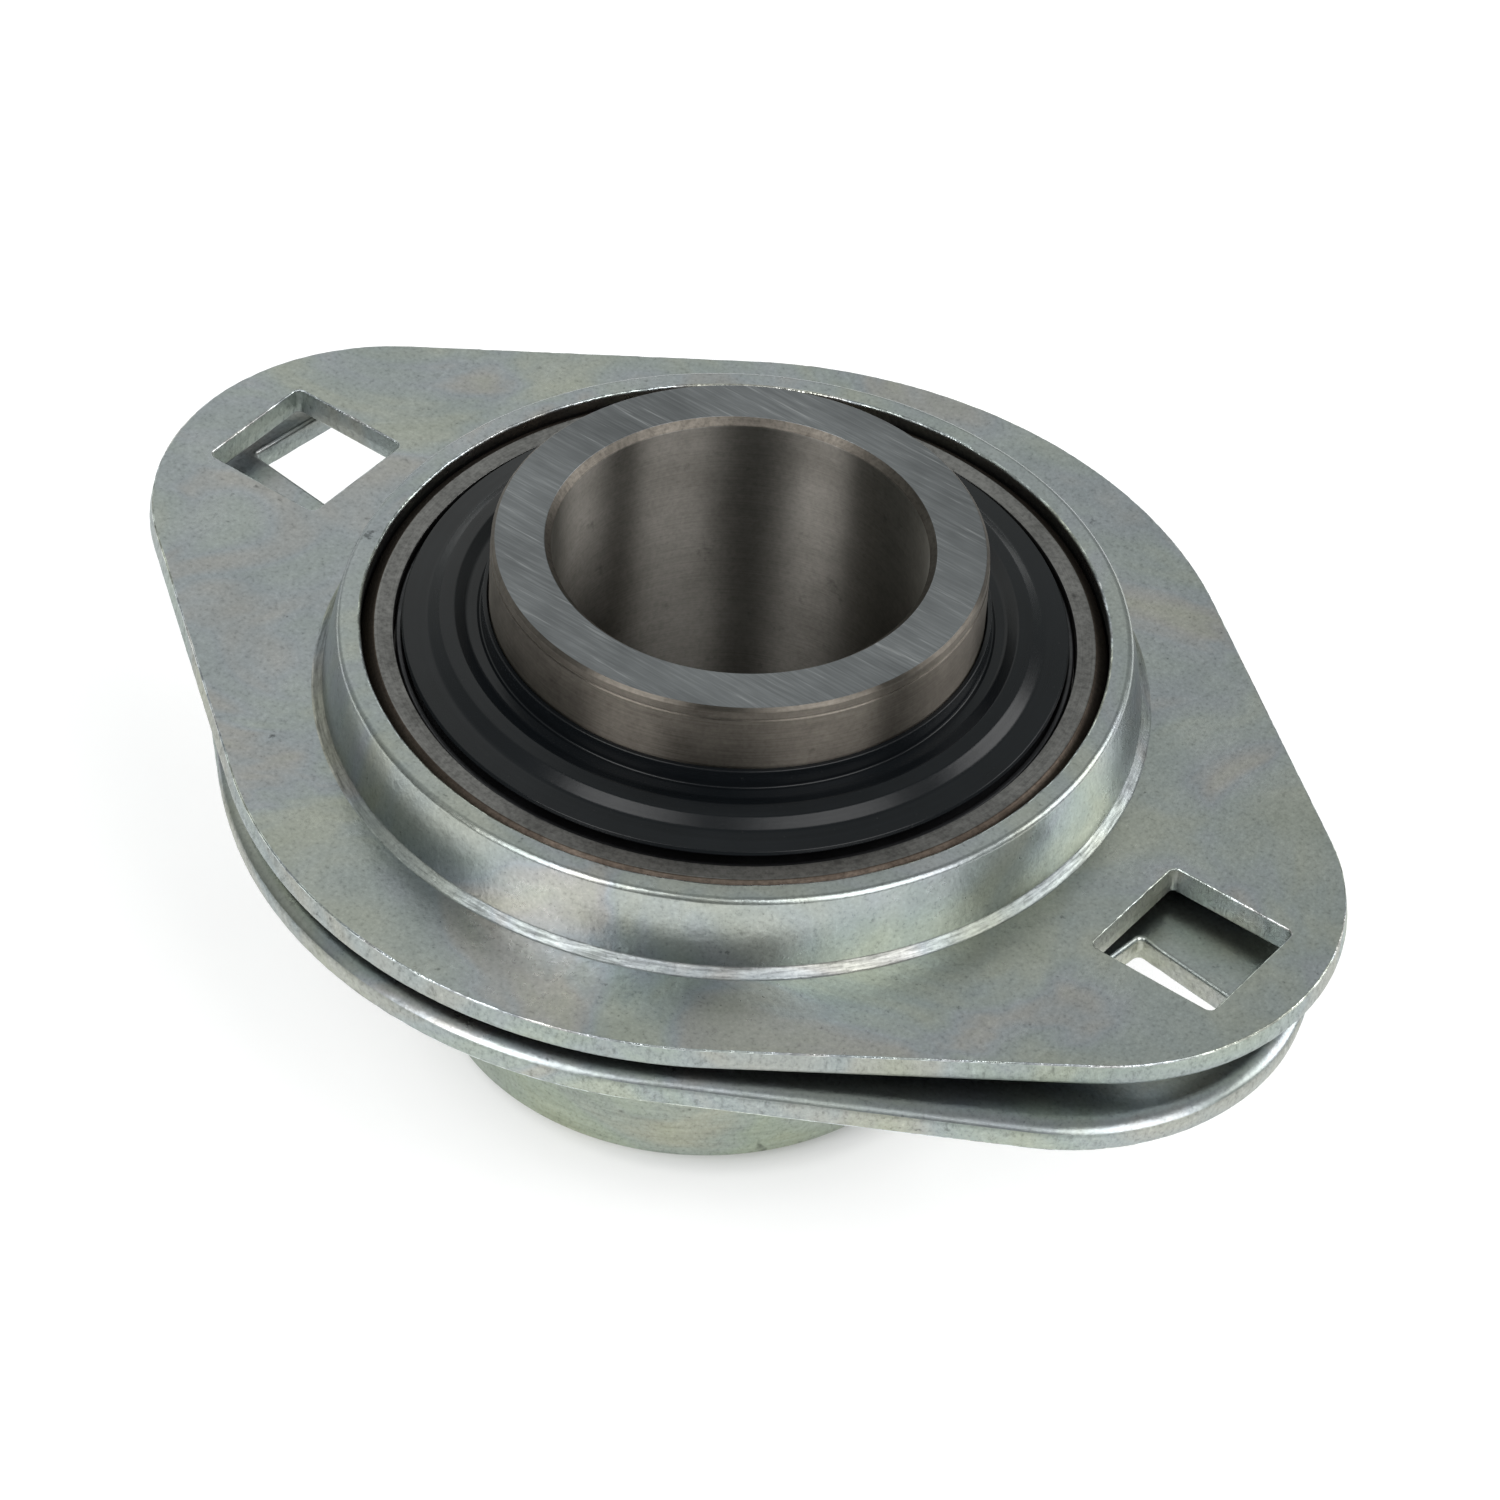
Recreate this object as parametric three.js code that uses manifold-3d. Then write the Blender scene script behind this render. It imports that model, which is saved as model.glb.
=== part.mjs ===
// Two-bolt pressed-steel flange bearing unit with an eccentric locking collar.
// Millimetres, +Z up the shaft axis, +X along the long axis of the upper housing half.
// The unit stands on the end face of its locking collar at Z = 0.
import * as THREE from 'three';
import { mergeVertices } from 'three/addons/utils/BufferGeometryUtils.js';
import Module from 'manifold-3d';

const wasm = await Module();
wasm.setup();

// ---------------------------------------------------------------- dimensions
const SEG = 36; // facets round every turned piece
const BALL_CENTRE_Z = 30.1;

// pressed housing halves (two identical stampings, one turned over)
const SHEET = 2.4;
const SIDE_R = 40.3;
const SIDE_CENTRE = 1.85; // the side arcs are centred this far past the long axis
const END_R = 20.6;
const END_CENTRE = 35.2;
const HOLE_CENTRE = 45.25;
const HOLE_HALF = 5.5;
const HOLE_CORNER = 0.45;
const ROLL = 0.45; // rolled-in edge on the mating side of the stamping
const SEAT_R = 31.15;
const SEAT_DROP = 0.5; // centre of the seat sphere below the mating face
const WALL_DROP = 0.3; // centre of the bowl's outer sphere below the mating face
const BOWL_OUTER_R = 33.2;
const BOWL_HEIGHT = 9.0;
const BOWL_OPENING_R = 30.05;
const BOWL_RIM_R = 31.0;
const UPPER_LIFT = 0.6; // mating face above the ball centre
const LOWER_DROP = 0.85; // mating face below the ball centre
const LOWER_TURN = -6.5; // degrees, the loose lower half stands turned

// bearing insert
const RING_SPHERE_R = 31.0;
const OUTER_HALF_WIDTH = 9.0;
const OUTER_FACE_R = 28.8;
const SEAL_SEAT_R = 27.4;
const SEAL_SEAT_Z = 7.2;
const OUTER_SHOULDER_R = 26.1;
const BALL_R = 4.7625;
const PITCH_R = 23.0;
const BALLS = 9;
const RACE_R = 4.98;
const RACE_GAP = 0.15;
const BORE_R = 15.0;
const INNER_R = 19.85;
const INNER_HALF_WIDTH = 18.25;
const INNER_CHAMFER = 0.55;

// eccentric lock
const ECCENTRIC = 0.8;
const LOCK_ANGLE = 215.0; // degrees, direction of the throw
const CAM_R = 18.6;
const CAM_TOP = -13.9;
const COLLAR_R = 22.05;
const COLLAR_BORE_R = 15.2;
const COLLAR_WIDTH = 15.9;
const COLLAR_CHAMFER = 1.0;
const RECESS_R = 18.8;
const RECESS_FLOOR = 11.5;
const SCREW_ANGLE = 125.0;
const SCREW_Z = 5.8;
const SCREW_R = 2.85;
const SCREW_HOLE_R = 3.0;
const SCREW_INNER = 15.65;
const SCREW_OUTER = 21.6;
const SCREW_HEX = 1.73;
const DRIFT_R = 3.0;
const DRIFT_DEPTH = 4.0;

// ribbon cage
const CAGE_SHEET = 0.8;
const CAGE_IN_R = 21.4;
const CAGE_OUT_R = 24.6;
const POCKET_R = BALL_R + 0.35;
const CAGE_PART_GAP = 0.04;
const RIVET_R = 0.75;
const RIVET_HEAD_R = 1.35;

// finishes
const FINISH = {
  zinc: { color: 0x9aa09a, roughness: 0.42, metalness: 0.9 },
  ring: { color: 0x94969a, roughness: 0.3, metalness: 0.95 },
  ball: { color: 0xc4c7ca, roughness: 0.1, metalness: 1.0 },
  cage: { color: 0xa6a39a, roughness: 0.4, metalness: 0.9 },
  rivet: { color: 0xb0aea6, roughness: 0.35, metalness: 0.9 },
  sealPlate: { color: 0x3a3c3f, roughness: 0.5, metalness: 0.7 },
  rubber: { color: 0x151618, roughness: 0.75, metalness: 0.0 },
  flinger: { color: 0x2b2d31, roughness: 0.4, metalness: 0.6 },
  collar: { color: 0x8d8f7c, roughness: 0.45, metalness: 0.85 },
  screw: { color: 0x26272a, roughness: 0.5, metalness: 0.7 },
};

const rad = THREE.MathUtils.degToRad;
const LOCK_DIR = [Math.cos(rad(LOCK_ANGLE)), Math.sin(rad(LOCK_ANGLE))];

// ---------------------------------------------------------------- helpers
function toSolid(geometry) {
  const g = geometry.clone();
  g.deleteAttribute('normal');
  if (g.getAttribute('uv')) g.deleteAttribute('uv');
  const welded = mergeVertices(g, 1e-4);
  const mesh = new wasm.Mesh({
    numProp: 3,
    vertProperties: new Float32Array(welded.getAttribute('position').array),
    triVerts: new Uint32Array(welded.getIndex().array),
  });
  mesh.merge();
  return new wasm.Manifold(mesh);
}

function toGeometry(solid) {
  const mesh = solid.getMesh();
  const g = new THREE.BufferGeometry();
  g.setAttribute('position', new THREE.BufferAttribute(new Float32Array(mesh.vertProperties), 3));
  g.setIndex(new THREE.BufferAttribute(new Uint32Array(mesh.triVerts), 1));
  return g;
}

// Turned ring from a closed (radius, z) profile; the profile is wound so faces point outward.
function turnedRing(profile, segments = SEG) {
  let area = 0;
  for (let i = 0; i < profile.length; i += 1) {
    const a = profile[i];
    const b = profile[(i + 1) % profile.length];
    area += a[0] * b[1] - b[0] * a[1];
  }
  const wound = area > 0 ? profile.slice() : profile.slice().reverse();
  wound.push(wound[0]);
  const points = wound.map((p) => new THREE.Vector2(p[0], p[1]));
  const g = new THREE.LatheGeometry(points, segments);
  g.rotateX(Math.PI / 2);
  return g;
}

// Turned solid from a profile that starts and ends on the axis, bottom to top.
function turnedSolid(profile, segments = SEG) {
  const points = profile.map((p) => new THREE.Vector2(p[0], p[1]));
  const g = new THREE.LatheGeometry(points, segments);
  g.rotateX(Math.PI / 2);
  return g;
}

function rod(radius, z0, z1, segments = SEG) {
  return turnedSolid([[0, z0], [radius, z0], [radius, z1], [0, z1]], segments);
}

function arc(cr, cz, radius, from, to, steps) {
  const points = [];
  for (let i = 0; i <= steps; i += 1) {
    const a = rad(from + ((to - from) * i) / steps);
    points.push([cr + radius * Math.cos(a), cz + radius * Math.sin(a)]);
  }
  return points;
}

function named(name, geometry, finish) {
  geometry.computeVertexNormals();
  const mesh = new THREE.Mesh(geometry, new THREE.MeshStandardMaterial(finish));
  mesh.name = name;
  return mesh;
}

// ---------------------------------------------------------------- housing
// Counter-clockwise flange outline: two side arcs joined by tangents to two end arcs.
function flangeOutline(inset) {
  const reach = Math.hypot(END_CENTRE, SIDE_CENTRE);
  const lean = Math.atan2(SIDE_CENTRE, END_CENTRE);
  const alpha = Math.acos((SIDE_R - END_R) / reach) - lean;
  const points = [];
  const sweep = (cx, cy, radius, from, to, steps) => {
    for (let i = 0; i <= steps; i += 1) {
      const a = from + ((to - from) * i) / steps;
      points.push(new THREE.Vector2(cx + radius * Math.cos(a), cy + radius * Math.sin(a)));
    }
  };
  sweep(END_CENTRE, 0, END_R - inset, -alpha, alpha, 10);
  sweep(0, SIDE_CENTRE, SIDE_R - inset, alpha, Math.PI - alpha, 10);
  sweep(-END_CENTRE, 0, END_R - inset, Math.PI - alpha, Math.PI + alpha, 10);
  sweep(0, -SIDE_CENTRE, SIDE_R - inset, Math.PI + alpha, 2 * Math.PI - alpha, 10);
  return points;
}

// Clockwise square hole for a carriage-bolt neck.
function squareHole(cx, grow) {
  const points = [];
  const flat = HOLE_HALF - HOLE_CORNER;
  const radius = HOLE_CORNER + grow;
  for (let corner = 0; corner < 4; corner += 1) {
    const mid = 45 + 90 * corner;
    const sx = Math.sign(Math.cos(rad(mid)));
    const sy = Math.sign(Math.sin(rad(mid)));
    for (let i = 0; i <= 2; i += 1) {
      const a = rad(mid - 45 + 45 * i);
      points.push(new THREE.Vector2(cx + sx * flat + radius * Math.cos(a), sy * flat + radius * Math.sin(a)));
    }
  }
  return points.reverse();
}

function roundHole(radius) {
  const points = [];
  for (let i = 0; i < SEG; i += 1) {
    const a = (2 * Math.PI * i) / SEG;
    points.push(new THREE.Vector2(radius * Math.cos(a), -radius * Math.sin(a)));
  }
  return points;
}

// Flat plate whose edges follow a small roll at the mating side (z = 0).
function flangePlate() {
  const levels = [[0, ROLL], [0.2, 0.12], [0.6, 0], [SHEET, 0]];
  const loopsAt = (inset) => [
    flangeOutline(inset),
    squareHole(HOLE_CENTRE, inset),
    squareHole(-HOLE_CENTRE, inset),
    roundHole(BOWL_OUTER_R + 0.3),
  ];
  const positions = [];
  const indices = [];
  const starts = [];
  for (const [z, inset] of levels) {
    const loops = loopsAt(inset);
    const row = [];
    for (const loop of loops) {
      row.push(positions.length / 3);
      for (const p of loop) positions.push(p.x, p.y, z);
    }
    starts.push({ row, loops });
  }
  for (let k = 0; k + 1 < levels.length; k += 1) {
    for (let l = 0; l < starts[k].loops.length; l += 1) {
      const n = starts[k].loops[l].length;
      for (let i = 0; i < n; i += 1) {
        const j = (i + 1) % n;
        const a = starts[k].row[l] + i;
        const b = starts[k].row[l] + j;
        const c = starts[k + 1].row[l] + j;
        const d = starts[k + 1].row[l] + i;
        indices.push(a, b, c, a, c, d);
      }
    }
  }
  const last = levels.length - 1;
  const capBottom = THREE.ShapeUtils.triangulateShape(starts[0].loops[0], starts[0].loops.slice(1));
  const capTop = THREE.ShapeUtils.triangulateShape(starts[last].loops[0], starts[last].loops.slice(1));
  for (const t of capBottom) indices.push(t[0], t[2], t[1]);
  const base = starts[last].row[0];
  for (const t of capTop) indices.push(base + t[0], base + t[1], base + t[2]);
  const g = new THREE.BufferGeometry();
  g.setAttribute('position', new THREE.Float32BufferAttribute(positions, 3));
  g.setIndex(indices);
  return g;
}

// Raised bowl with the spherical seat inside; z = 0 is the mating face.
function bowlRing() {
  const seat = (z) => [Math.sqrt(SEAT_R ** 2 - (z + SEAT_DROP) ** 2), z];
  const wall = (z) => [Math.sqrt(BOWL_OUTER_R ** 2 - (z + WALL_DROP) ** 2), z];
  const profile = [
    [BOWL_OUTER_R + 1.4, 0],
    [SEAT_R + 1.1, 0],
    [SEAT_R + 0.35, 0.3],
    seat(1.2),
    seat(3.2),
    seat(5.2),
    seat(6.7),
    [BOWL_OPENING_R, 8.1],
    [BOWL_OPENING_R, BOWL_HEIGHT - 0.2],
    [BOWL_OPENING_R + 0.2, BOWL_HEIGHT],
    [BOWL_RIM_R, BOWL_HEIGHT],
    [BOWL_RIM_R + 0.6, BOWL_HEIGHT - 0.3],
    wall(BOWL_HEIGHT - 1.0),
    wall(6.2),
    wall(SHEET + 0.95),
    [BOWL_OUTER_R + 0.1, SHEET + 0.25],
    [BOWL_OUTER_R + 0.75, SHEET],
    [BOWL_OUTER_R + 1.4, SHEET],
  ];
  return turnedRing(profile);
}

function housingHalf() {
  return toGeometry(toSolid(flangePlate()).add(toSolid(bowlRing())));
}

function upperHousing() {
  const mesh = named('housing_upper_half', housingHalf(), FINISH.zinc);
  mesh.position.z = UPPER_LIFT;
  return mesh;
}

// The same stamping turned over; a turn before the flip comes out reversed.
function lowerHousing() {
  const mesh = named('housing_lower_half', housingHalf(), FINISH.zinc);
  mesh.rotation.set(Math.PI, 0, -rad(LOWER_TURN));
  mesh.position.z = -LOWER_DROP;
  return mesh;
}

// ---------------------------------------------------------------- insert
function outerRing() {
  const grooveR = PITCH_R + BALL_R + RACE_GAP;
  const centre = grooveR - RACE_R;
  const half = (Math.acos((OUTER_SHOULDER_R - centre) / RACE_R) * 180) / Math.PI;
  const sphere = (z) => [Math.sqrt(RING_SPHERE_R ** 2 - z ** 2), z];
  const w = OUTER_HALF_WIDTH;
  const profile = [
    [SEAL_SEAT_R, -w],
    [OUTER_FACE_R, -w],
    sphere(-8.3),
    sphere(-5.2),
    sphere(-1.8),
    sphere(1.8),
    sphere(5.2),
    sphere(8.3),
    [OUTER_FACE_R, w],
    [SEAL_SEAT_R, w],
    [SEAL_SEAT_R, SEAL_SEAT_Z],
    [OUTER_SHOULDER_R, SEAL_SEAT_Z],
    ...arc(centre, 0, RACE_R, half, -half, 6),
    [OUTER_SHOULDER_R, -SEAL_SEAT_Z],
    [SEAL_SEAT_R, -SEAL_SEAT_Z],
  ];
  return named('outer_ring', turnedRing(profile), FINISH.ring);
}

function innerRing() {
  const grooveR = PITCH_R - BALL_R - RACE_GAP;
  const centre = grooveR + RACE_R;
  const half = (Math.acos((centre - INNER_R) / RACE_R) * 180) / Math.PI;
  const top = INNER_HALF_WIDTH;
  const body = turnedSolid([
    [0, CAM_TOP],
    [INNER_R, CAM_TOP],
    ...arc(centre, 0, RACE_R, 180 + half, 180 - half, 6),
    [INNER_R, top - INNER_CHAMFER],
    [INNER_R - INNER_CHAMFER, top],
    [0, top],
  ]);
  const cam = turnedSolid([
    [0, -top],
    [CAM_R - 0.4, -top],
    [CAM_R, -top + 0.4],
    [CAM_R, CAM_TOP + 1],
    [0, CAM_TOP + 1],
  ]);
  cam.translate(ECCENTRIC * LOCK_DIR[0], ECCENTRIC * LOCK_DIR[1], 0);
  const bore = turnedSolid([
    [0, -top - 1],
    [BORE_R + 1.6, -top - 1],
    [BORE_R, -top + 0.6],
    [BORE_R, top - 0.6],
    [BORE_R + 1.6, top + 1],
    [0, top + 1],
  ]);
  const g = toGeometry(toSolid(body).add(toSolid(cam)).subtract(toSolid(bore)));
  return named('inner_ring', g, FINISH.ring);
}

function ball(index) {
  const g = new THREE.SphereGeometry(BALL_R, 14, 8);
  g.rotateX(Math.PI / 2);
  const mesh = named(`ball_${index + 1}`, g, FINISH.ball);
  const a = (2 * Math.PI * index) / BALLS;
  mesh.position.set(PITCH_R * Math.cos(a), PITCH_R * Math.sin(a), 0);
  mesh.rotation.z = a;
  return mesh;
}

// One pressed ribbon: flat lands between the balls and a half pocket round each ball.
function cageRibbon() {
  const reach = POCKET_R + CAGE_SHEET;
  const land = toSolid(turnedRing([
    [CAGE_IN_R, CAGE_PART_GAP],
    [CAGE_OUT_R, CAGE_PART_GAP],
    [CAGE_OUT_R, CAGE_PART_GAP + CAGE_SHEET],
    [CAGE_IN_R, CAGE_PART_GAP + CAGE_SHEET],
  ], 36));
  const band = toSolid(turnedRing([
    [CAGE_IN_R, CAGE_PART_GAP],
    [CAGE_OUT_R, CAGE_PART_GAP],
    [CAGE_OUT_R, reach + 1],
    [CAGE_IN_R, reach + 1],
  ], 36));
  const shell = new THREE.SphereGeometry(reach, 12, 8);
  const pocket = new THREE.SphereGeometry(POCKET_R, 12, 8);
  const rivetHole = rod(RIVET_R + 0.12, -1, 2, 8);
  let shells = null;
  let pockets = null;
  for (let i = 0; i < BALLS; i += 1) {
    const a = (2 * Math.PI * i) / BALLS;
    const x = PITCH_R * Math.cos(a);
    const y = PITCH_R * Math.sin(a);
    const s = toSolid(shell.clone().rotateX(Math.PI / 2).rotateZ(a).translate(x, y, 0));
    const p = toSolid(pocket.clone().rotateX(Math.PI / 2).rotateZ(a).translate(x, y, 0));
    const b = a + Math.PI / BALLS;
    const h = toSolid(rivetHole.clone().translate(PITCH_R * Math.cos(b), PITCH_R * Math.sin(b), 0));
    shells = shells ? shells.add(s) : s;
    pockets = pockets ? pockets.add(p).add(h) : p.add(h);
  }
  return toGeometry(land.add(shells.intersect(band)).subtract(pockets));
}

function cageHalf(side) {
  return sided(named(`cage_${side}_ribbon`, cageRibbon(), FINISH.cage), side);
}

function cageRivet(index) {
  const seat = CAGE_PART_GAP + CAGE_SHEET + 0.03;
  const g = turnedSolid([
    [0, -seat - 0.55],
    [RIVET_HEAD_R * 0.6, -seat - 0.5],
    [RIVET_HEAD_R, -seat],
    [RIVET_R, -seat],
    [RIVET_R, seat],
    [RIVET_HEAD_R, seat],
    [RIVET_HEAD_R * 0.6, seat + 0.5],
    [0, seat + 0.55],
  ], 8);
  const mesh = named(`cage_rivet_${index + 1}`, g, FINISH.rivet);
  const a = (2 * Math.PI * (index + 0.5)) / BALLS;
  mesh.position.set(PITCH_R * Math.cos(a), PITCH_R * Math.sin(a), 0);
  return mesh;
}

// Pieces modelled above the ball centre; the lower copy is the same piece turned over.
function sided(mesh, side) {
  if (side === 'lower') mesh.rotation.x = Math.PI;
  return mesh;
}

function sealPlate(side) {
  const g = turnedRing([
    [21.4, SEAL_SEAT_Z + 0.05],
    [27.25, SEAL_SEAT_Z + 0.05],
    [27.25, 8.6],
    [26.7, 8.6],
    [26.5, SEAL_SEAT_Z + 0.65],
    [21.4, SEAL_SEAT_Z + 0.65],
  ]);
  return sided(named(`${side}_seal_plate`, g, FINISH.sealPlate), side);
}

function sealLip(side) {
  const g = turnedRing([
    [20.05, 7.0],
    [21.3, 7.0],
    [21.3, 7.95],
    [22.6, 7.95],
    [22.3, 8.7],
    [20.05, 8.5],
  ]);
  return sided(named(`${side}_seal_lip`, g, FINISH.rubber), side);
}

// Rotating sheet-metal slinger: a neck on the inner ring and a domed disc over the seal.
function flinger(side) {
  const g = turnedRing([
    [19.97, 9.7],
    [20.5, 10.2],
    [23.4, 10.5],
    [25.2, 9.9],
    [26.7, 9.2],
    [26.8, 9.65],
    [25.3, 10.4],
    [23.5, 11.0],
    [20.75, 10.8],
    [20.42, 11.2],
    [20.38, 12.3],
    [19.97, 12.3],
  ]);
  return sided(named(`${side}_flinger`, g, FINISH.flinger), side);
}

// ---------------------------------------------------------------- locking collar
// Lays a piece along a radius of the collar, starting at the given distance from its axis.
function alongRadius(g, angle, distance) {
  g.rotateY(Math.PI / 2);
  g.translate(distance, 0, SCREW_Z);
  g.rotateZ(rad(angle));
  return g;
}

function lockingCollar() {
  const c = COLLAR_CHAMFER;
  const body = turnedRing([
    [COLLAR_BORE_R + 0.7, 0],
    [COLLAR_R - c, 0],
    [COLLAR_R, c],
    [COLLAR_R, COLLAR_WIDTH - c],
    [COLLAR_R - c, COLLAR_WIDTH],
    [COLLAR_BORE_R, COLLAR_WIDTH],
    [COLLAR_BORE_R, 0.7],
  ]);
  const recess = turnedSolid([
    [0, RECESS_FLOOR],
    [RECESS_R, RECESS_FLOOR],
    [RECESS_R, COLLAR_WIDTH - 0.4],
    [RECESS_R + 1.4, COLLAR_WIDTH + 1],
    [0, COLLAR_WIDTH + 1],
  ]);
  recess.translate(-ECCENTRIC * LOCK_DIR[0], -ECCENTRIC * LOCK_DIR[1], 0);
  const screwHole = alongRadius(rod(SCREW_HOLE_R, -6, 6, 20), SCREW_ANGLE, 19);
  const drift = alongRadius(rod(DRIFT_R, 0, 8, 20), SCREW_ANGLE + 90, COLLAR_R - DRIFT_DEPTH);
  const solid = toSolid(body)
    .subtract(toSolid(recess))
    .subtract(toSolid(screwHole))
    .subtract(toSolid(drift));
  return named('locking_collar', toGeometry(solid), FINISH.collar);
}

function grubScrew() {
  const length = SCREW_OUTER - SCREW_INNER;
  const body = turnedSolid([
    [0, 0.6],
    [1.2, 0],
    [1.8, 0],
    [SCREW_R, 0.9],
    [SCREW_R, length - 0.5],
    [SCREW_R - 0.5, length],
    [0, length],
  ], 20);
  const socket = rod(SCREW_HEX, length - 2.8, length + 1, 6);
  const mesh = named('grub_screw', toGeometry(toSolid(body).subtract(toSolid(socket))), FINISH.screw);
  mesh.rotation.set(0, Math.PI / 2, 0);
  const seat = new THREE.Group();
  seat.add(mesh);
  mesh.position.set(SCREW_INNER, 0, SCREW_Z);
  seat.rotation.z = rad(SCREW_ANGLE);
  return seat;
}

// ---------------------------------------------------------------- assembly
function buildUnit() {
  const unit = new THREE.Group();
  unit.name = 'pressed_flange_bearing_unit';

  const centred = new THREE.Group(); // everything laid out about the ball centre
  centred.position.z = BALL_CENTRE_Z;
  centred.add(upperHousing(), lowerHousing(), outerRing(), innerRing());
  for (let i = 0; i < BALLS; i += 1) {
    centred.add(ball(i), cageRivet(i));
  }
  for (const side of ['upper', 'lower']) {
    centred.add(cageHalf(side), sealPlate(side), sealLip(side), flinger(side));
  }

  const lock = new THREE.Group(); // the collar's own axis, thrown off the shaft axis
  lock.position.set(2 * ECCENTRIC * LOCK_DIR[0], 2 * ECCENTRIC * LOCK_DIR[1], 0);
  lock.add(lockingCollar(), grubScrew());

  unit.add(centred, lock);
  return unit;
}

export default buildUnit();
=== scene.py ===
"""Looks for the two-bolt pressed-steel flange bearing unit: detailed pieces, procedural materials,
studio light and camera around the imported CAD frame.

Lengths are in millimetres until a mesh is made, where MM turns them into metres. In materials,
noise scales are in cells a metre and bump distances in metres."""
import math
from functools import partial

import bpy
import numpy as np
from mathutils import Matrix, Vector, geometry, noise


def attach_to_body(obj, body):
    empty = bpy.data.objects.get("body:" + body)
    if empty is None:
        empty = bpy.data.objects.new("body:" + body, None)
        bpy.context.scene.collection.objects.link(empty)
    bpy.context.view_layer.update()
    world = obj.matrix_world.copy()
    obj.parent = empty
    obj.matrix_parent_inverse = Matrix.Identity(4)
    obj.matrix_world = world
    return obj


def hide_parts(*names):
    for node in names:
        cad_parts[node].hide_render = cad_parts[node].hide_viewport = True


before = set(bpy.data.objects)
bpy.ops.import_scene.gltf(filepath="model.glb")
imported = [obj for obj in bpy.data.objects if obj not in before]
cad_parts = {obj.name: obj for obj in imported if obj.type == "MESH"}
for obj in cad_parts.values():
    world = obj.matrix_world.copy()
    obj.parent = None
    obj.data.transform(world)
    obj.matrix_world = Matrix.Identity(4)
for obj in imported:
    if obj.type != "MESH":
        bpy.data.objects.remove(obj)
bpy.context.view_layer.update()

MM = 0.001
BALL_Z = 30.1  # height of the ball centres above the floor

# pressed housing half, z = 0 on its mating face
SHEET = 2.4
SIDE_R, SIDE_Y, END_R, END_X = 40.3, 1.85, 20.6, 35.2  # the four arcs of the flange outline
HOLE_X, HOLE_HALF, HOLE_CORNER = 45.25, 5.5, 0.4  # square bolt holes
SEAT_R, SEAT_DROP = 31.15, 0.5  # spherical seat, and how far its centre is below the mating face
BOWL_R, BOWL_DROP, BOWL_H = 33.2, 0.3, 9.0  # the same for the outside of the bowl, and its height
OPENING_R = 30.05
PLATE_R = 36.0  # where the turned bowl meets the flat flange
FOOT_R, BAND_R, BAND_H = 33.85, 33.08, 0.60  # the coined band round the foot of the bowl
EDGE_ROLL, ROLL_DEPTH, HOLE_ROLL = 1.7, 0.92, 0.425  # rolled-in edge of the outline and of the holes
BURR = 0.14
UPPER_LIFT, LOWER_DROP, LOWER_TURN = 0.6, 0.85, -6.5  # where the halves stand, and degrees
PLATE, CUT, DRAWN, TORN = range(4)  # material slots of a housing half

# insert, z = 0 at the ball centre
BORE_R, INNER_R, INNER_HALF = 15.0, 19.85, 18.25
BALL_R, PITCH_R, BALLS = 4.7625, 23.0, 9
RACE_R = 4.98  # radius of the raceway grooves across the track
INNER_TRACK_R, OUTER_TRACK_R = 18.1, 27.9  # the bottoms of the two grooves
CAM_R, CAM_TOP = 18.6, -13.9  # eccentric cam at the lower end of the inner ring
SPHERE_R, OUTER_HALF = 31.0, 9.0
OUTER_LAND_R, SEAL_GROOVE_R, FACE_EDGE_R = 26.1, 27.4, 28.95
SEAL_GROOVE_Z = 7.2

# eccentric lock, z = 0 on the floor
THROW, LOCK_ANGLE = 0.8, math.radians(215)
SCREW_ANGLE, SCREW_Z = math.radians(125), 5.8
THROW_X, THROW_Y = THROW * math.cos(LOCK_ANGLE), THROW * math.sin(LOCK_ANGLE)
COLLAR_R, COLLAR_H, COLLAR_CHAMFER = 22.05, 15.9, 1.0


# ---------------------------------------------------------------- mesh helpers
def corner(p, q, r, radius, steps):
    """Arc that rounds the corner q between p and r, as (x, z, heading) points."""
    nearly_straight = math.radians(2)
    a = np.subtract(q, p)
    b = np.subtract(r, q)
    la, lb = np.hypot(*a), np.hypot(*b)
    ha, hb = math.atan2(a[1], a[0]), math.atan2(b[1], b[0])
    turn = (hb - ha + math.pi) % (2 * math.pi) - math.pi
    if abs(turn) < nearly_straight or radius <= 0:
        return [(q[0], q[1], ha + turn / 2)]
    # just under half of the shorter side, so that the arcs of two corners never meet
    reach = min(radius * math.tan(abs(turn) / 2), 0.48 * min(la, lb))
    radius = reach / math.tan(abs(turn) / 2)
    start = np.array(q) - a / la * reach
    side = 1 if turn > 0 else -1
    centre = start + side * radius * np.array([-math.sin(ha), math.cos(ha)])
    steps = max(2, int(round(steps * abs(turn) / (math.pi / 2))))
    out = []
    for i in range(steps + 1):
        h = ha + turn * i / steps
        out.append((centre[0] + side * radius * math.sin(h), centre[1] - side * radius * math.cos(h), h))
    return out


def rounded(points, radius=0.15, steps=5, closed=True):
    """Profile points (x, z[, corner radius]) with rounded corners, as (x, z, heading)."""
    out = []
    n = len(points)
    for i, q in enumerate(points):
        own = q[2] if len(q) > 2 else radius
        if not closed and i in (0, n - 1):
            other = points[1] if i == 0 else points[n - 2]
            d = np.subtract(other[:2], q[:2]) * (1 if i == 0 else -1)
            out.append((q[0], q[1], math.atan2(d[1], d[0])))
            continue
        out += corner(points[i - 1][:2], q[:2], points[(i + 1) % n][:2], own, steps)
    return out


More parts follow.
